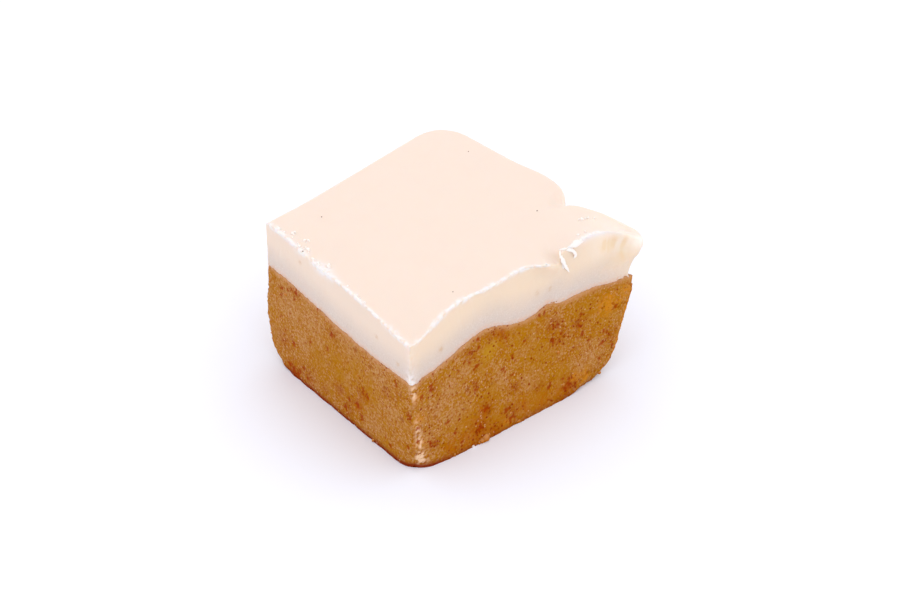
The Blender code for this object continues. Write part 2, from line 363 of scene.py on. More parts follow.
def smooth_piece(name, points, faces):
    mesh = bpy.data.meshes.new(name)
    mesh.from_pydata(in_metres(points), [], faces)
    mesh.shade_smooth()
    return put(name, mesh)


def outward(piece):
    """The direction out of the piece at each of its points."""
    normals = np.empty(len(piece.data.vertices) * 3)
    piece.data.vertices.foreach_get("normal", normals)
    return normals.reshape(-1, 3)


def reshape(piece, points):
    piece.data.vertices.foreach_set("co", np.ravel(in_metres(points)))
    piece.data.update()


def paint(piece, **amounts):
    """Stores an amount from 0 to 1 at each point, for the material to read by name."""
    for name, values in amounts.items():
        attribute = piece.data.attributes.new(name, "FLOAT", "POINT")
        attribute.data.foreach_set("value", np.clip(values, 0.0, 1.0))


def spread(places, span, z):
    """1 in the middle of each place on a cut, as (along the cut, up, reach), and 0 away from them all."""
    humps = [hump(span, middle, reach) * hump(z, height, reach) for middle, height, reach in places]
    return np.max([0.0 * z] + humps, axis=0)


def pitted(sizes, span, z, points):
    """1 in the middle of each of these ragged pits and 0 outside them."""
    uneven, width = PIT_RAGGED
    ragged = 1.0 + uneven * fractal(points, width, 2)
    pits = np.zeros(len(points))
    for radius, places in sizes.items():
        for middle, height in places:
            share = np.hypot(span - middle, PIT_TALL * (z - height)) * ragged / radius
            pits = np.maximum(pits, np.clip(PIT_WALL - PIT_WALL * share**2, 0.0, 1.0))
    return pits


def scattered(points, spacing, radius, share):
    """1 in the middle of small round places and 0 outside them.

    They lie about the spacing apart, and only this share of them is there."""
    nearest, luck, size = np.empty((3, len(points)))
    for index, point in enumerate((points / spacing).tolist()):
        distances, centres = noise.voronoi(point)
        nearest[index] = distances[0] * spacing
        luck[index] = noise.cell(centres[0] * PORE_LUCK)
        size[index] = noise.cell(centres[0] * PORE_LOT)
    there = smooth(0.0, 0.1, share - luck)
    return there * np.clip(1.0 - (nearest / (radius * between(*PORE_SIZES, size))) ** 2, 0.0, 1.0)


def dragged(points, span, width, length, lean):
    """Streaks that a knife left on a cut, about this wide and long."""
    z = points[:, 2]
    return fractal(np.stack((span + lean * z, 0.0 * z, z), axis=-1), (width, 1.0, length), 2)


def facing(points, normals):
    """How far points are on the left cut, on the front one and on either, and how far along it they are."""
    on_left, on_front = smooth(*FACING, -normals[:, 0]), smooth(*FACING, -normals[:, 1])
    span = np.where(on_left > on_front, points[:, 1], points[:, 0])
    return on_left, on_front, np.maximum(on_left, on_front), span


side_levels = round((SEAM_HEIGHT - FOOT_HEIGHT) / FINE_STEP)
once_round = rim()
rings = [
    (once_round, level(FOOT_HEIGHT * (step / FOOT_LEVELS) ** FOOT_CROWDING)) for step in range(FOOT_LEVELS)
] + [
    (once_round, part_way(level(FOOT_HEIGHT), seam_height, step / side_levels))
    for step in range(side_levels + 1)
]
points, shares, faces = skin(rings, pressed_sides, (HIDDEN_STEP, HIDDEN_STEP))
brown_layer = smooth_piece("brown_layer", points, faces)

normals = outward(brown_layer)
x, y, z = points.T
on_left, on_front, on_cut, span = facing(points, normals)
dark, ochre, pale, gold, honey, amber = (
    on_front * spread(front, x, z) + on_left * spread(left, y, z)
    for front, left in (
        (DARK_ON_FRONT, DARK_ON_LEFT), (OCHRE_ON_FRONT, OCHRE_ON_LEFT), (PALE_ON_FRONT, PALE_ON_LEFT),
        (GOLD_ON_FRONT, ()), (HONEY_ON_FRONT, ()), (AMBER_ON_FRONT, AMBER_ON_LEFT),
    )
)
streaky = patchy(fractal(points, HONEY_GROUND), *HONEY_PATCHES)

relief = sum(height * fractal(points, width) for height, width in PASTE_LUMPS)
relief *= 1.0 - TIN_WALL_CALM * (1.0 - on_cut)
streak_height, streak_width, streak_length, streak_lean = PASTE_STREAKS
relief += streak_height * on_cut * dragged(points, span, streak_width, streak_length, streak_lean)
stain = np.zeros(len(points))
for depth, spacing, radius, share in PORES:
    share = share * between(PORES_ON_TIN_WALL, 1.0, on_cut) + PORES_IN_DARK_PLACES * dark
    pores = scattered(points, spacing, radius, share)
    relief -= depth * pores
    stain = np.maximum(stain, PORE_STAIN * pores)
pits = on_front * pitted(PITS_ON_FRONT, x, z, points) + on_left * pitted(PITS_ON_LEFT, y, z, points)
relief -= PIT_DEPTH * pits

from_edge = np.min([from_upright(shares, u, v) for u, v in ((0, 0), (1, 0), (0, 1))], axis=0)
for (depth, reach, width), distance in ((EDGE_WEAR, from_edge), (RIM_WEAR, z / np.maximum(on_cut, 0.01))):
    bites = WEAR_BITES[0] + WEAR_BITES[1] * fractal(points, width)
    relief -= depth * hump(distance, 0.0, reach) * np.maximum(bites, 0.0)
points = points + normals * relief[:, None]
points[:, 2] = np.maximum(points[:, 2], 0.0)
reshape(brown_layer, points)

at_tin_edge = hump(from_upright(shares, 1, 0), 0.0, HONEY_EDGE) * smooth(*HONEY_EDGE_STARTS, z)
honey = np.maximum(honey, at_tin_edge)
lean, top_shift = SMEAR_LEAN
shift = top_shift + lean * (SEAM_HEIGHT - z)
from_corner = from_upright(shares, shift / FRONT_LENGTH, 0)
# Pale up the corner: knife smear together with painted highlight where the crushed corner catches the light
smear = sum(how_pale * hump(z, up, reach) for up, reach, how_pale in SMEARS_AT_CORNER)
smear *= hump(from_corner, 0.0, SMEAR_WIDTH + SMEAR_FOOT * smooth(*SMEAR_FOOT_HEIGHT, z))
smear *= patchy(fractal(points, SMEAR_GROUND), *SMEAR_PATCHES)
# Painted contact shadow along the table, stronger on the left cut and at the corner
everywhere, more_on_left, more_at_corner, reach = FOOT_SHADE_PLACES
foot_shade = everywhere + more_on_left * on_left + more_at_corner * hump(from_corner, 0.0, reach)
seam = seam_height(*in_plan(shares))
paint(
    brown_layer,
    dark=dark, ochre=ochre, pale=pale, gold=gold, stain=stain, pit=pits, smear=smear,
    dusty=between(TIN_WALL_DUST, 1.0, on_cut) * (1.0 - AMBER_HIDES_DUST * np.clip(amber, 0.0, 1.0)),
    honey=honey * streaky,
    amber=amber * streaky,
    # the rim paint is the painted contact shadow along the table
    rim=FOOT_SHADE[0] * hump(z, 0.0, FOOT_SHADE[1]) * foot_shade,
    seam=hump(z, seam, SEAM_BLUSH_REACH),
)


def linear(colour):
    """The linear light of an sRGB hex colour."""
    channels = [int(colour[start : start + 2], 16) / 255.0 for start in (1, 3, 5)]
    return (*(((c + 0.055) / 1.055) ** 2.4 if c > 0.04045 else c / 12.92 for c in channels), 1.0)


def give(tree, node, inputs):
    """Gives each named input of a node a value or a link."""
    for name, value in inputs.items():
        if isinstance(value, bpy.types.NodeSocket):
            tree.links.new(value, node.inputs[name])
        else:
            node.inputs[name].default_value = value


def add(tree, kind, inputs=None, **settings):
    """Adds a node with its settings and inputs, and gives back what comes out of it."""
    node = tree.nodes.new("ShaderNode" + kind)
    for name, value in settings.items():
        setattr(node, name, value)
    give(tree, node, inputs or {})
    return node.outputs


def new_material(name):
    """A material, its nodes and its shader."""
    material = bpy.data.materials.new(name)
    material.use_nodes = True
    return material, material.node_tree, material.node_tree.nodes["Principled BSDF"]


def millimetres(tree):
    """Where on the piece a point is."""
    place = add(tree, "TexCoord")["Object"]
    return add(tree, "VectorMath", {0: place, 1: (1.0 / MM,) * 3}, operation="MULTIPLY")["Vector"]


def tinted(tree, base, tints):
    """A base colour with tints over it in turn, each as (colour, where it shows, how strongly)."""
    colour = linear(base)
    for tint, amount, strength in tints:
        part = add(tree, "Math", {0: amount, 1: strength}, operation="MULTIPLY")["Value"]
        colour = add(tree, "Mix", {0: part, 6: colour, 7: linear(tint)}, data_type="RGBA")[2]
    return colour


def gritty(tree, surface, place, width, height):
    """Covers a surface with bumps this wide and high, and gives back the pattern that they follow."""
    grit = add(tree, "TexNoise", {"Vector": place, "Scale": 1.0 / width, "Detail": 2.0})["Fac"]
    bump = {"Height": grit, "Strength": 1.0, "Distance": height * MM}
    give(tree, surface, {"Normal": add(tree, "Bump", bump)["Normal"]})
    return grit


# Brown fudge, cut: dull and slightly fatty, pale where the knife smeared it, with darker grains of sugar.
# Its colour also holds a painted contact shadow along the table, painted glints and a painted highlight up
# the corner.
PASTE = "#a86d06"
OCHRE = "#a96f00"
PALE = "#b5844e"
DUST = "#c19265"
RUST = "#9e5200"
DARK = "#862a00"
# Cloudy patterns in it, each as (name, width, noise where it starts to show, noise where it shows fully)
PASTE_CLOUDS = (
    ("ochre", 2.2, 0.44, 0.66),
    ("pale", 1.54, 0.46, 0.68),
    ("dust", 0.32, 0.51, 0.6),
    ("grain", 0.3, 0.5, 0.58),
    ("clot", 0.6, 0.46, 0.62),
    ("speck_share", 4.4, 0.35, 0.75),
)
# Two kinds of dark specks and pale specks that are painted glints on the sugar, each as (spacing, radius,
# share, more where the paste is dark)
SPECKS_IN_PASTE = ((0.62, 0.18, 0.09, 0.4), (0.36, 0.13, 0.09, 0.4), (0.5, 0.12, 0.1, 0.2))
SPECK_SOFTNESS = (1.3, 0.6)  # where their edge starts and where it ends, in radii
SPECK_SHARE_LEAST, SPECK_SHARE_MORE = 0.3, 1.4  # how uneven their share is from place to place
GRIT = (0.12, 0.03)  # how wide and how high
PASTE_ROUGHNESS = (0.5, 0.7)

paste, tree, surface = new_material("brown_fudge_cut")
mm_place = millimetres(tree)
painted = {
    name: add(tree, "Attribute", attribute_name=name)["Fac"]
    for name in "dark ochre pale gold dusty honey amber stain pit smear rim seam".split()
}
clouds = {}
for name, width, low, high in PASTE_CLOUDS:
    shift = (11.0 * len(clouds),) * 3
    spot = add(tree, "VectorMath", {0: mm_place, 1: shift}, operation="ADD")["Vector"]
    look = {"Vector": spot, "Scale": 1.0 / width, "Detail": 3.0, "Roughness": 0.6}
    window = {"Value": add(tree, "TexNoise", look)["Fac"], "From Min": low, "From Max": high}
    clouds[name] = add(tree, "MapRange", window)["Result"]
clots, dust = (
    add(tree, "Math", {0: clouds[cloud], 1: painted[where]}, operation="MULTIPLY")["Value"]
    for cloud, where in (("clot", "dark"), ("dust", "dusty"))
)
speckled = []
for spacing, radius, share, more in SPECKS_IN_PASTE:
    shift = (7.0 + 3.0 * len(speckled),) * 3
    spot = add(tree, "VectorMath", {0: mm_place, 1: shift}, operation="ADD")["Vector"]
    cells = add(tree, "TexVoronoi", {"Vector": spot, "Scale": 1.0 / spacing})
    edge, middle = (size * radius / spacing for size in SPECK_SOFTNESS)
    window = {"Value": cells["Distance"], "From Min": edge, "From Max": middle}
    inside = add(tree, "MapRange", window)["Result"]
    luck = add(tree, "SeparateColor", {"Color": cells["Color"]})["Red"]
    crowded = SPECK_SHARE_LEAST * share
    for amount, strength in ((painted["dark"], more), (clouds["speck_share"], SPECK_SHARE_MORE * share)):
        parts = {0: amount, 1: strength, 2: crowded}
        crowded = add(tree, "Math", parts, operation="MULTIPLY_ADD")["Value"]
    there = add(tree, "Math", {0: luck, 1: crowded}, operation="LESS_THAN")["Value"]
    speckled.append(add(tree, "Math", {0: there, 1: inside}, operation="MULTIPLY")["Value"])

colour = tinted(tree, PASTE, (
    (OCHRE, clouds["ochre"], 0.7),
    (PALE, clouds["pale"], 0.5),
    (PALE, painted["pale"], 0.6),
    (RUST, clouds["grain"], 0.75),
    (DUST, dust, 0.65),
    (OCHRE, painted["ochre"], 0.6),
    ("#aa5c00", painted["amber"], 0.75),
    (RUST, painted["dark"], 0.3),
    ("#b98a22", painted["gold"], 0.7),
    ("#c47c18", painted["honey"], 0.85),
    (DARK, clots, 0.5),
    ("#c8946a", painted["seam"], 0.7),
    # pale up the corner: knife smear and painted highlight
    ("#eec8a4", painted["smear"], 0.9),
    # painted contact shadow along the table
    ("#7a1800", painted["rim"], 0.9),
    # pale specks: painted glints, highlights on grains of sugar
    ("#dcb594", speckled[2], 0.5),
    (DARK, painted["stain"], 0.6),
    ("#963600", painted["pit"], 0.85),
    (DARK, speckled[0], 0.95),
    (DARK, speckled[1], 0.85),
))
grit = gritty(tree, surface, mm_place, *GRIT)
dullness = {"Value": grit, "To Min": PASTE_ROUGHNESS[0], "To Max": PASTE_ROUGHNESS[1]}
give(tree, surface, {
    "Base Color": colour, "Roughness": add(tree, "MapRange", dullness)["Result"],
    "IOR": 1.46, "Specular IOR Level": 0.05, "Specular Tint": linear(DUST),
    "Subsurface Weight": 0.1, "Subsurface Radius": (1.0, 0.45, 0.2), "Subsurface Scale": 0.5 * MM,
})

brown_layer.data.materials.append(paste)
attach(brown_layer, "root")
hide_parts("base_layer")

# ----------------------------------------
# Crumbs of the base
# Small lumps of the same brown paste that the knife and the tin tore loose. They are pressed into the edges
# where it was cut, and stand a little proud of them.

CRUMB_SIZES = (0.08, 0.32)
CRUMB_COUNTS = (14, 12, 26)  # along the table, up the edges, and over the cuts
CRUMB_SINK = 0.3  # share of its size that a crumb is sunk
CRUMB_DENTS = 0.35
CRUMB_SQUEEZE = (0.6, 1.3)
# The largest ones lie at the foot, each as (along, across, up, size)
BIG_CRUMBS = (
    (11.0, -0.5, 0.45, 0.5), (11.6, -0.45, 0.55, 0.38), (10.4, -0.55, 0.3, 0.36), (9.9, -0.6, 0.2, 0.25),
    (31.6, -0.1, 0.9, 0.25), (34.1, 0.0, 4.1, 0.28),
)


def lump(bm, centre, size, draw):
    """An uneven lump about a point: a ball squeezed three ways, turned and dented."""
    stretch = Matrix.Diagonal([draw.uniform(*CRUMB_SQUEEZE) for axis in range(3)]).to_4x4()
    turn = Matrix.Rotation(draw.uniform(0.0, 2.0 * pi), 4, [draw.uniform(-1.0, 1.0) for axis in range(3)])
    made = bmesh.ops.create_icosphere(bm, subdivisions=2, radius=size, matrix=turn @ stretch)
    for vert in made["verts"]:
        dent = CRUMB_DENTS * noise.noise(vert.co / size + Vector(centre) * 3.0)
        vert.co = vert.co * (1.0 + dent) + Vector(centre)


def lumps(name, centres, sizes, draw):
    """One piece of many lumps."""
    bm = bmesh.new()
    for centre, size in zip(centres, sizes):
        lump(bm, centre, size, draw)
    mesh = bpy.data.meshes.new(name)
    for vert in bm.verts:
        vert.co.z = max(vert.co.z, 0.0)
        vert.co = (vert.co - Vector(PLAN_CENTRE)) * MM
    bm.to_mesh(mesh)
    bm.free()
    mesh.shade_smooth()
    return put(name, mesh)


def strewn(draw, places, count, sizes, normals):
    """Centres and sizes of crumbs at random ones of these points, sunk into what they lie on."""
    chosen = [draw.randrange(len(places)) for number in range(count)]
    found = [sizes[0] * (sizes[1] / sizes[0]) ** (draw.random() ** 1.5) for number in range(count)]
    sink = CRUMB_SINK * np.array(found)[:, None]
    centres = places[chosen] - normals[chosen] * sink
    centres[:, 2] = np.maximum(centres[:, 2], found)
    return centres.tolist(), found


draw = random.Random(7)
centres, sizes = [], []
low, clear = z < 0.5, (z > 1.0) & (z < seam - 0.5)
beds = (low & (on_cut > 0.7), clear & (from_edge < 0.4), clear & (on_cut > 0.9))
for count, bed in zip(CRUMB_COUNTS, beds):
    more, their_sizes = strewn(draw, points[bed], count, CRUMB_SIZES, normals[bed])
    centres += more
    sizes += their_sizes
centres += [crumb[:3] for crumb in BIG_CRUMBS]
sizes += [crumb[3] for crumb in BIG_CRUMBS]
brown_crumbs = lumps("brown_crumbs", centres, sizes, draw)
# Painted light: the crumbs are paler where they face up
lit_top = smooth(0.1, 0.9, outward(brown_crumbs)[:, 2])  # they are amber, and paler where they look up
paint(brown_crumbs, amber=np.ones(len(lit_top)), honey=0.15 + 0.5 * lit_top, smear=0.25 * lit_top)
brown_crumbs.data.materials.append(paste)
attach(brown_crumbs, "root")

# ----------------------------------------
# The white layer
# White fudge, boiled sugar, cream and butter, poured over the brown layer and left to set dull and smooth.
# The knife went through it too, so its cut edges carry a rough white burr. At the front right corner it
# squeezed out past the base as a lobe, and beside that a piece of its top edge tore away.

HEIGHT = 22.7  # flat middle of the top
TOP_FALL_LEFT = (0.35, 3.0)
TOP_FALL_ENDS = (20.0, 27.0)
# Its other forms, given as the seam's are
TOP_FORMS = (
    (-1.5, 0.0, 4.5, 0.0, 8.0),  # the front left corner droops
    (-1.7, FRONT_LENGTH, 1.9, 0.0, 3.4),  # and so does the lobe's
    (0.4, 18.0, 2.2, 0.0, 3.0),
    (0.6, 30.0, 3.0, 0.0, 3.0),
    (0.35, 0.0, 5.0, 31.0, 6.0),  # the far end of the left cut
    (-0.7, FRONT_LENGTH, 2.2, 10.4, 1.8),  # the notch behind the lobe
    (-1.3, 24.2, 1.1, 0.0, 1.6),  # the chip in the front edge
)

WALL_SWELLS = ((0.55, 17.2, 3.4), (-1.3, 7.8, 3.2), (-1.6, 10.6, 1.8))
WALL_SWELL_FOOT = (15.5, 20.0)
CURL = (0.9, 22.3, 1.4)
CURL_FOOT = (19.5, 22.0)
TOP_EDGE_RADIUS = 0.8  # along the tin walls the top edge set soft
LOBE_OUT = 2.3
LOBE_REACH = (4.6, 2.6)
LOBE_UNDERSIDE = (16.9, 19.2)
LOBE_SHOULDER = (19.4, 23.4)
LOBE_SHOULDER_FALL = 0.9
LOBE_FRONT_OUT = 0.6
LOBE_RADIUS = 2.4
LOBE_SOFT = (1.4, 37.0, 3.4)  # its front top edge is round; the radius, where and how far
WAIST = (1.0, 15.6, 1.5)  # under the lobe the wall draws in

TUCK = (0.3, 0.25)  # how far in and how far down its foot is tucked into the brown layer
TOP_STEP = 0.45
EDGE_LEVELS = 10
TOP_RINGS = (0.06, 0.14, 0.24, 0.36, 0.5, 0.7, 0.95, 1.25)  # closer rings beside the burr

WHITE_LUMPS = ((0.028, 1.6), (0.01, 0.4))
WHITE_STREAKS = (0.018, 0.5, 5.0, 0.2)
LOBE_STREAKS = (0.09, 0.8, 7.0, -0.1)
TOP_CALM = 0.75
BURR_HEIGHT = 0.11
BURR_REACH = 0.36
BURR_RAGGED = (1.0, 1.3, 0.0, 1.4)  # how it comes and goes, as the patches of the brown layer do
ROUGH_GROUND, FINE_GROUND = 0.55, 0.25
BURR_BREADTH = (0.6, 2.5)  # how much its reach changes, and over what width
BURR_WIDER = (0.5, 13.0, 17.0)  # it is this much wider at the far end of the left cut, from here to here
BURR_PAINT = (0.9, 1.5)  # how white the burr is, and how white the smear on the top
# Painted highlight along the lobe's round front top edge, carried in the burr paint, which also makes it
# rougher there; how much, where and how far
LOBE_EDGE_HIGHLIGHT = (0.8, 31.8, 3.8)
HIGHLIGHT_BELOW_EDGE = (0.2, 0.6)  # how far down, and its reach
HIGHLIGHT_ON_TOP = 0.2  # share of it that runs over the edge
BURR_BREAK_LEFT = (21.7, 0.9)  # a gap in it, as (where, reach)
BURR_ENDS = 0.4  # how softly a stretch of it ends
# Its stretches along the front, each as (middle, half its length, how strong)
BURR_ON_FRONT = ((1.0, 1.3, 0.85), (12.5, 10.3, 1.0), (29.5, 3.0, 0.8))
BURR_AT_CORNER_FOOT = (0.8, 1.6)  # it is thick again where the corner meets the brown; reach and height
CORNER_FOOT_RAGGED, CORNER_FOOT_LEAST = (0.75, 1.5, 0.0, 1.2), 0.2
SMEAR_ON_TOP = (18.9, 1.5, 0.95)  # where, and how far it reaches along the edge and in from it
TOP_SMEAR_RAGGED = (1.1, 1.4, 0.0, 1.0)
# Places on the cuts, each as (along the cut, up, reach)
TAN_ON_LEFT = ((6.9, 18.4, 0.3), (23.5, 20.6, 0.28), (2.6, 16.6, 0.3))
TAN_ON_FRONT = ((20.9, 18.4, 0.35), (23.1, 18.2, 0.28), (4.5, 17.5, 0.4))
WARM_STREAKS = (0.6, 4.5, -0.1)  # how wide, how long, and how far they lean
WARM_PATCHES = (0.35, 2.4)  # how warm they are on average, and how much that changes
FLECKS = (0.8, 1.4)  # the same for the tan marks and the seam
ON_TOP = (0.6, 0.9)  # a point is partly, then wholly, on the top as it turns to face up
LOBE_SPREAD = (4.0, 5.0)  # reach of the lobe's own looks, along and across
LOBE_PALE_TOP = (5.0, 2.0, 6.0)  # reach along, where across, reach across
# Painted light on the lobe's upper front, which faces the light from above as its top edge rounds over
LOBE_TIP_LIGHT = ((0.35, 33.0, 3.0), (0.9, 37.8, 2.2))  # how pale, where, reach
LOBE_LIGHT_FROM = (18.0, 20.5)  # heights
# Painted shade: the sides grey towards the seam, where the grains also show
LOW_BAND = (0.3, 5.0)  # it greys towards the seam; heights above that
LOW_ON_LOBE = 0.7  # share of the grey that is missing there
SEAM_REACH = 0.5
WARM_ON_FRONT = ((34.6, 20.2, 1.3), (34.8, 18.6, 0.8), (33.0, 20.8, 0.9))


def top_height(along, across):
    fall, fall_reach = TOP_FALL_LEFT
    height = HEIGHT - fall * (1.0 - smooth(*TOP_FALL_ENDS, across)) * np.exp(-along / fall_reach)
    return height + heaped(TOP_FORMS, along, across)


def poured_sides(along, across, z):
    """The sides that the brown layer has, with the lobe, the tin wall's swells and the curl at the front."""
    left, right, front, back, radii = pressed_sides(along, across, z)
    lobe = smooth(*LOBE_UNDERSIDE, z) * (1.0 - LOBE_SHOULDER_FALL * smooth(*LOBE_SHOULDER, z))
    soft = quarter_round(top_height(along, across) - z, TOP_EDGE_RADIUS, TOP_EDGE_RADIUS)
    for swell, middle, reach in WALL_SWELLS:
        right = right + swell * hump(across, middle, reach) * smooth(*WALL_SWELL_FOOT, z)
    waist, height, reach = WAIST
    pushed = LOBE_OUT * lobe - waist * hump(z, height, reach)
    right = right + pushed * hump(across, 0.0, LOBE_REACH[0]) - soft
    curl, middle, reach = CURL
    front = front - LOBE_FRONT_OUT * lobe * hump(along, FRONT_LENGTH, LOBE_REACH[1])
    front = front - curl * hump(along, middle, reach) * smooth(*CURL_FOOT, z)
    radius, middle, reach = LOBE_SOFT
    front = front + quarter_round(top_height(along, across) - z, radius, radius) * hump(along, middle, reach)
    return left, right, front, back - soft, (radii[0], LOBE_RADIUS * lobe)


def below(heights, depth):
    return lambda along, across: heights(along, across) - depth


shoulder = below(top_height, TOP_EDGE_RADIUS)
side_levels = round((HEIGHT - TOP_EDGE_RADIUS - SEAM_HEIGHT) / FINE_STEP)
rings = [(rim(TUCK[0]), below(seam_height, TUCK[1]))]
rings += [(once_round, part_way(seam_height, shoulder, step / side_levels)) for step in range(side_levels)]
rings += [
    (once_round, below(top_height, TOP_EDGE_RADIUS * (1.0 - sin(0.5 * pi * step / EDGE_LEVELS))))
    for step in range(EDGE_LEVELS + 1)
]
rings += [(rim(inset), top_height) for inset in TOP_RINGS]
points, shares, faces = skin(rings, poured_sides, (HIDDEN_STEP, TOP_STEP))
white_layer = smooth_piece("white_layer", points, faces)

normals = outward(white_layer)
x, y, z = points.T
along, across = in_plan(shares)
top, seam = top_height(along, across), seam_height(along, across)
on_top = smooth(*ON_TOP, normals[:, 2])
on_left, on_front, on_cut, span = facing(points, normals)
on_lobe = hump(x, FRONT_LENGTH, LOBE_SPREAD[0]) * hump(y, 0.0, LOBE_SPREAD[1])
# Painted light on the lobe's upper front
tip_light_share = sum(how_pale * hump(x, middle, reach) for how_pale, middle, reach in LOBE_TIP_LIGHT)

relief = sum(height * fractal(points, width) for height, width in WHITE_LUMPS)
relief *= 1.0 - TOP_CALM * on_top
for share, (height, width, length, lean) in ((on_cut, WHITE_STREAKS), (on_front * on_lobe, LOBE_STREAKS)):
    relief += height * share * dragged(points, span, width, length, lean)

from_left = np.hypot(shares[:, 0] * FRONT_LENGTH, top - z)
from_front = np.hypot(shares[:, 1] * LEFT_LENGTH, top - z)
along_left = 1.0 - 0.9 * hump(across, *BURR_BREAK_LEFT)
along_front = np.zeros(len(points))
for middle, reach, strength in BURR_ON_FRONT:
    stretch = 1.0 - smooth(reach - BURR_ENDS, reach + BURR_ENDS, np.abs(along - middle))
    along_front = np.maximum(along_front, strength * stretch)
rough, fine = fractal(points, ROUGH_GROUND), fractal(points, FINE_GROUND, 2)
change, width = BURR_BREADTH
wide = BURR_REACH * (1.0 + change * fractal(points, width, 2))
wide *= 1.0 + BURR_WIDER[0] * smooth(*BURR_WIDER[1:], across)
burr = np.maximum(hump(from_left, 0.0, wide) * along_left, hump(from_front, 0.0, wide) * along_front)
burr *= patchy(rough, *BURR_RAGGED)
# Painted highlight just under the lobe's round front top edge
edge_highlight, middle, reach = LOBE_EDGE_HIGHLIGHT
edge_highlight = edge_highlight * hump(along, middle, reach) * hump(from_front, *HIGHLIGHT_BELOW_EDGE)
edge_highlight *= between(1.0, HIGHLIGHT_ON_TOP, on_top)
foot_reach, foot_height = BURR_AT_CORNER_FOOT
corner_foot = hump(from_upright(shares, 0, 0), 0.0, foot_reach)
corner_foot *= patchy(rough, *CORNER_FOOT_RAGGED) * (CORNER_FOOT_LEAST + hump(z, seam, foot_height))
burr = np.maximum(burr, corner_foot)
relief += BURR_HEIGHT * burr
where, edge_reach, inward_reach = SMEAR_ON_TOP
smear = hump(across, where, edge_reach) * hump(from_left, 0.0, inward_reach)
smear *= patchy(rough, *TOP_SMEAR_RAGGED)
flecks = FLECKS[0] + FLECKS[1] * fine
warm_streaks = WARM_PATCHES[0] + WARM_PATCHES[1] * dragged(points, x, *WARM_STREAKS)
fade = smooth(-TUCK[1], 0.2, z - seam)
white_points = points + normals * (relief * fade)[:, None]
reshape(white_layer, white_points)
paint(
    white_layer,
    # the burr paint also holds the painted highlight along the lobe's front top edge
    burr=BURR_PAINT[0] * burr + BURR_PAINT[1] * smear + edge_highlight,
    tan=(on_front * spread(TAN_ON_FRONT, x, z) + on_left * spread(TAN_ON_LEFT, y, z)) * flecks,
    warm=on_front * spread(WARM_ON_FRONT, x, z) * warm_streaks,
    lobe_top=on_top * hump(x, FRONT_LENGTH, LOBE_PALE_TOP[0]) * hump(y, *LOBE_PALE_TOP[1:]),
    # painted light on the lobe's upper front
    lobe_tip=(1.0 - on_top) * smooth(*LOBE_LIGHT_FROM, z) * tip_light_share,
    side=1.0 - on_top,
    front=on_front,
    # painted shade greying the sides towards the seam, which also places the grains
    low=(1.0 - LOW_ON_LOBE * on_lobe) * (1.0 - smooth(*LOW_BAND, z - seam)),
    seam=hump(z, seam, SEAM_REACH) * flecks,
)

# White fudge, set and cut: a soft dull sheen. Light sinks in a little, and it is whiter where it is rough.
# Its colour also holds painted shade towards the seam and painted light on the lobe.
CREAM = "#e7d5c6"
# Clouds, then dark and pale grains of sugar near the seam: width, detail, and the noise as in the paste's
CREAM_PATTERNS = ((3.0, 4.0, 0.45, 0.7), (0.22, 1.0, 0.42, 0.28), (0.22, 1.0, 0.56, 0.7))
SUGAR = (0.2, 0.012)  # the same for its grit
CREAM_ROUGHNESS, BURR_ROUGHNESS = 0.48, 0.75

white, tree, surface = new_material("white_fudge_set")
mm_place = millimetres(tree)
painted = {
    name: add(tree, "Attribute", attribute_name=name)["Fac"]
    for name in "burr tan warm lobe_top lobe_tip side front low seam".split()
}
patterns = []
for width, detail, low, high in CREAM_PATTERNS:
    look = {"Vector": mm_place, "Scale": 1.0 / width, "Detail": detail}
    window = {"Value": add(tree, "TexNoise", look)["Fac"], "From Min": low, "From Max": high}
    patterns.append(add(tree, "MapRange", window)["Result"])
clouded, dusk_grains, pale_grains = patterns
dusk_grains, pale_grains = (
    add(tree, "Math", {0: grain, 1: painted["low"]}, operation="MULTIPLY")["Value"]
    for grain in (dusk_grains, pale_grains)
)
colour = tinted(tree, CREAM, (
    ("#e4cfc1", clouded, 0.2),
    ("#e6d2bf", painted["side"], 1.0),
    ("#e8d2b8", painted["front"], 1.0),
    # painted shade towards the seam
    ("#d1c1b5", painted["low"], 1.0),
    ("#a8948c", dusk_grains, 0.16),
    ("#e6dcd4", pale_grains, 0.35),
    # painted light on the lobe's upper front
    ("#faf0e4", painted["lobe_tip"], 1.0),
    ("#e6c792", painted["warm"], 0.5),
    ("#efe2d3", painted["lobe_top"], 0.6),
    ("#c9a274", painted["tan"], 0.6),
    ("#d9b096", painted["seam"], 0.9),
    # whiter at the burr and at the painted highlight along the lobe's front top edge
    ("#e9e3e0", painted["burr"], 1.0),
))
gritty(tree, surface, mm_place, *SUGAR)
dullness = {"Value": painted["burr"], "To Min": CREAM_ROUGHNESS, "To Max": BURR_ROUGHNESS}
give(tree, surface, {
    "Base Color": colour, "Roughness": add(tree, "MapRange", dullness)["Result"],
    "IOR": 1.46, "Specular IOR Level": 0.3,
    "Subsurface Weight": 0.4, "Subsurface Radius": (1.0, 0.7, 0.5), "Subsurface Scale": 0.8 * MM,
})

white_layer.data.materials.append(white)
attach(white_layer, "root")
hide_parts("white_layer")

# ----------------------------------------
# Shavings at the chip
# Thin curls of white fudge that hang from the torn top edge at the front. The knife drew them out of the
# white layer, and they are whiter than it because the tearing roughened them.

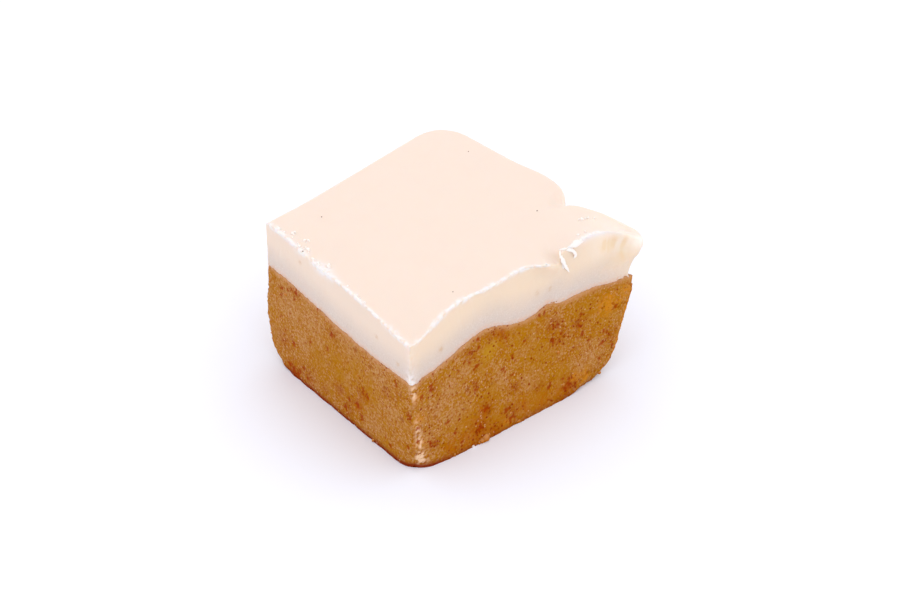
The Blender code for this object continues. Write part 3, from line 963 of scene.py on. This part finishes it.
# Each as (route, widths along it, thickness)
SHAVINGS = (
    (
        (
            (25.6, 2.2, 22.7), (25.2, 1.75, 22.5), (25.1, 1.35, 22.0), (25.4, 1.25, 21.25),
            (25.75, 1.2, 20.5), (26.1, 1.15, 19.9), (26.3, 1.1, 19.4),
        ),
        (0.4, 0.6, 0.6, 0.6, 0.55, 0.5, 0.35), 0.16,
    ),
    (
        (
            (25.35, 1.4, 21.2), (25.45, 1.34, 20.6), (25.4, 1.28, 20.2),
        ),
        (0.4, 0.45, 0.3), 0.14,
    ),
    (
        (
            (25.4, 2.25, 22.7), (25.8, 1.8, 22.85), (26.4, 1.5, 22.75), (27.0, 1.35, 22.35),
            (27.4, 1.3, 21.9), (27.5, 1.3, 21.35), (27.2, 1.3, 21.05),
        ),
        (0.35, 0.5, 0.5, 0.5, 0.6, 0.6, 0.4), 0.16,
    ),
    (
        (
            (26.6, 1.6, 22.9), (27.3, 1.5, 23.1), (28.0, 1.45, 23.15), (28.8, 1.4, 23.0),
        ),
        (0.5, 0.9, 0.9, 0.4), 0.4,
    ),
)
SHAVING_STEPS, SHAVING_SIDES = 40, 12
SHAVING_SOFTENED = 8  # times that its route is evened out
SHAVING_FACES = np.array([0.0, -1.0, 0.35])  # the way that their broad side looks
SHAVING_ROUGHNESS = (0.16, 0.35)


def shaving(route, widths, thickness):
    """Points and faces of a strip along a route, an uneven ellipse across, drawn out thin at both ends."""
    steps, knots = np.linspace(0.0, 1.0, SHAVING_STEPS), np.linspace(0.0, 1.0, len(route))
    path = np.stack([np.interp(steps, knots, values) for values in np.transpose(route)], axis=-1)
    for number in range(SHAVING_SOFTENED):
        path[1:-1] = 0.25 * (path[:-2] + 2.0 * path[1:-1] + path[2:])
    ahead = np.gradient(path, axis=0)
    side = np.cross(ahead, SHAVING_FACES)
    side /= np.linalg.norm(side, axis=1)[:, None]
    out = np.cross(side, ahead)
    out /= np.linalg.norm(out, axis=1)[:, None]
    narrow = np.sqrt(np.clip(np.sin(pi * between(0.02, 0.98, steps)), 0.0, 1.0))
    half_width = 0.5 * np.interp(steps, knots, widths) * narrow
    angles = np.linspace(0.0, 2.0 * pi, SHAVING_SIDES, endpoint=False)
    rings = (
        path[:, None]
        + side[:, None] * (half_width[:, None] * np.cos(angles))[..., None]
        + out[:, None] * (0.5 * thickness * narrow[:, None] * np.sin(angles))[..., None]
    )
    height, width = SHAVING_ROUGHNESS
    spots = rings.reshape(-1, 3)
    centred = spots - np.repeat(path, SHAVING_SIDES, axis=0)
    spots = spots + centred * (height / width) * fractal(spots, width)[:, None]
    here = np.arange((SHAVING_STEPS - 1) * SHAVING_SIDES).reshape(-1, SHAVING_SIDES)
    beside = np.roll(here, -1, axis=1)
    sides = np.stack((here, beside, beside + SHAVING_SIDES, here + SHAVING_SIDES), axis=-1).reshape(-1, 4)
    ends = [list(range(SHAVING_SIDES))[::-1], list(range(len(spots) - SHAVING_SIDES, len(spots)))]
    return spots, sides.tolist() + ends


# White fudge, torn: rough all over, so it scatters nearly all the light and looks whiter than a cut.
TORN_WHITE = "#f8f3ee"
TORN_CREAM = "#f0e8e0"
TORN_GRAIN = (0.3, 0.02)

torn, tree, surface = new_material("white_fudge_torn")
grain = gritty(tree, surface, millimetres(tree), *TORN_GRAIN)
colour = tinted(tree, TORN_WHITE, ((TORN_CREAM, grain, 1.0),))
give(tree, surface, {"Base Color": colour, "Roughness": 0.8, "IOR": 1.46, "Specular IOR Level": 0.3})

made, faces = [], []
for route, widths, thickness in SHAVINGS:
    spots, strip = shaving(route, widths, thickness)
    start = sum(map(len, made))
    faces += [[corner + start for corner in face] for face in strip]
    made.append(spots)
shavings = smooth_piece("white_shavings", np.concatenate(made), faces)
shavings.data.materials.append(torn)
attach(shavings, "root")

# ----------------------------------------
# Crumbs of the white layer
# Small torn lumps of white fudge that the knife left lying on the top beside the cut edges. They are rough
# all over, so they are as white as the burr.

WHITE_CRUMB_SIZES = (0.08, 0.22)
WHITE_CRUMB_SINK = 0.45  # share of its size that a crumb is pressed into the top
# Where they lie, each as (along, across, how far they spread along and across, how many)
WHITE_CRUMB_PATCHES = (
    (0.7, 26.6, 0.14, 0.3, 9), (-0.1, 28.5, 0.15, 0.5, 3), (0.95, 24.4, 0.1, 0.2, 3),
    (0.15, 22.7, 0.12, 0.3, 7), (0.55, 18.4, 0.1, 0.15, 4), (0.1, 18.2, 0.1, 0.2, 2),
    (-0.35, 20.0, 0.12, 1.0, 6), (-0.3, 25.0, 0.12, 1.6, 8), (-0.4, 13.0, 0.12, 5.0, 5),
    (27.4, 1.7, 0.5, 0.2, 5), (32.2, 6.0, 0.3, 0.1, 2), (33.1, 5.6, 0.35, 0.12, 4),
    (33.8, 5.3, 0.2, 0.12, 2), (29.4, 2.7, 0.5, 0.08, 3),
)
WHITE_CRUMB_AT_FOOT = (8.9, -0.6, 0.16, 0.28)  # one fell to the table; along, across, up, size

draw = random.Random(11)
upwards = np.flatnonzero(normals[:, 2] > 0.3)
tree_of_top = KDTree(len(upwards))
for number, index in enumerate(upwards):
    tree_of_top.insert(Vector((*white_points[index, :2], 0.0)), number)
tree_of_top.balance()
centres, sizes = [], []
for along_middle, across_middle, along_spread, across_spread, count in WHITE_CRUMB_PATCHES:
    for number in range(count):
        spot = (draw.gauss(along_middle, along_spread), draw.gauss(across_middle, across_spread), 0.0)
        bed = upwards[tree_of_top.find(spot)[1]]
        size = WHITE_CRUMB_SIZES[0] * (WHITE_CRUMB_SIZES[1] / WHITE_CRUMB_SIZES[0]) ** draw.random()
        centres.append((white_points[bed] + normals[bed] * size * (0.6 - WHITE_CRUMB_SINK)).tolist())
        sizes.append(size)
centres.append(WHITE_CRUMB_AT_FOOT[:3])
sizes.append(WHITE_CRUMB_AT_FOOT[3])
white_crumbs = lumps("white_crumbs", centres, sizes, draw)
white_crumbs.data.materials.append(torn)
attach(white_crumbs, "root")

# ----------------------------------------
# Specks on the white layer
# Single grains of the brown layer's dark sugar that the knife carried up and left on the white top.

# Each as (along, across, size)
SPECKS = ((5.8, 27.8, 0.1), (-0.55, 22.8, 0.09), (31.5, 28.0, 0.08), (29.3, 10.9, 0.1), (9.0, 3.5, 0.06))
# Dark brown sugar, a single grain: a hard half gloss. Its mottle is too fine to see and only evens out.
SPECK_BROWN = "#4a2410"
SPECK_MOTTLE = 10000.0  # spots across all the specks

draw = random.Random(3)
beds = [upwards[tree_of_top.find((along, across, 0.0))[1]] for along, across, size in SPECKS]
specks = lumps("dark_specks", white_points[beds].tolist(), [size for along, across, size in SPECKS], draw)
sugar, tree, surface = new_material("dark_sugar_grain")
mottle = add(tree, "TexNoise", {"Scale": SPECK_MOTTLE})["Fac"]
colour = tinted(tree, SPECK_BROWN, ((DARK, mottle, 1.0),))
give(tree, surface, {"Base Color": colour, "Roughness": 0.5})
specks.data.materials.append(sugar)
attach(specks, "root")

# ----------------------------------------
# The table
# A pale matte board under the fudge, which is not part of it.

TABLE_SIZE = 3000.0
TABLE_COLOUR = "#f0f3fb"

mesh = bpy.data.meshes.new("table")
half = 0.5 * TABLE_SIZE * MM
corners = [(-half, -half, 0.0), (half, -half, 0.0), (half, half, 0.0), (-half, half, 0.0)]
mesh.from_pydata(corners, [], [(0, 1, 2, 3)])
table = put("table", mesh)
# Board, matte all over, so that it shows no reflection of the fudge.
board, tree, surface = new_material("matte_board")
give(tree, surface, {"Base Color": linear(TABLE_COLOUR), "Roughness": 0.9, "Specular IOR Level": 0.1})
mesh.materials.append(board)

# ----------------------------------------
# The light
# A white tent lit all round, with a broad soft lamp over it.

TENT_COLOUR = "#fdfcff"
TENT_STRENGTH = 1.2
LAMP_SIZE = 500.0
LAMP_PLACE = (-40.0, -80.0, 450.0)
LAMP_POWER = 0.2

world = bpy.data.worlds.new("tent")
bpy.context.scene.world = world
world.use_nodes = True
backdrop = world.node_tree.nodes["Background"]
backdrop.inputs["Color"].default_value = linear(TENT_COLOUR)
backdrop.inputs["Strength"].default_value = TENT_STRENGTH
lamp = bpy.data.lights.new("soft_lamp", "AREA")
lamp.size = LAMP_SIZE * MM
lamp.energy = LAMP_POWER
lamp_object = put("soft_lamp", lamp)
lamp_object.location = Vector(LAMP_PLACE) * MM
lamp_object.rotation_euler = lamp_object.location.to_track_quat("Z", "Y").to_euler()

# ----------------------------------------
# The camera
# It looks down at the corner between the two cuts.

TURN = radians(38.95)  # from the left cut's direction towards the front cut's
TILT = radians(36.0)
AIM = np.array([17.80, 15.26, 10.8])
DISTANCE = 270.0
LENS = 80.0

camera_data = bpy.data.cameras.new("camera")
camera_data.lens = LENS
camera_data.sensor_width = 36.0
camera = put("camera", camera_data)
backwards = np.array([-sin(TURN) * cos(TILT), -cos(TURN) * cos(TILT), sin(TILT)])
camera.location = in_metres(AIM + DISTANCE * backwards)
camera.rotation_euler = Vector(backwards).to_track_quat("Z", "Y").to_euler()
bpy.context.scene.camera = camera
bpy.context.scene.view_settings.view_transform = "Standard"
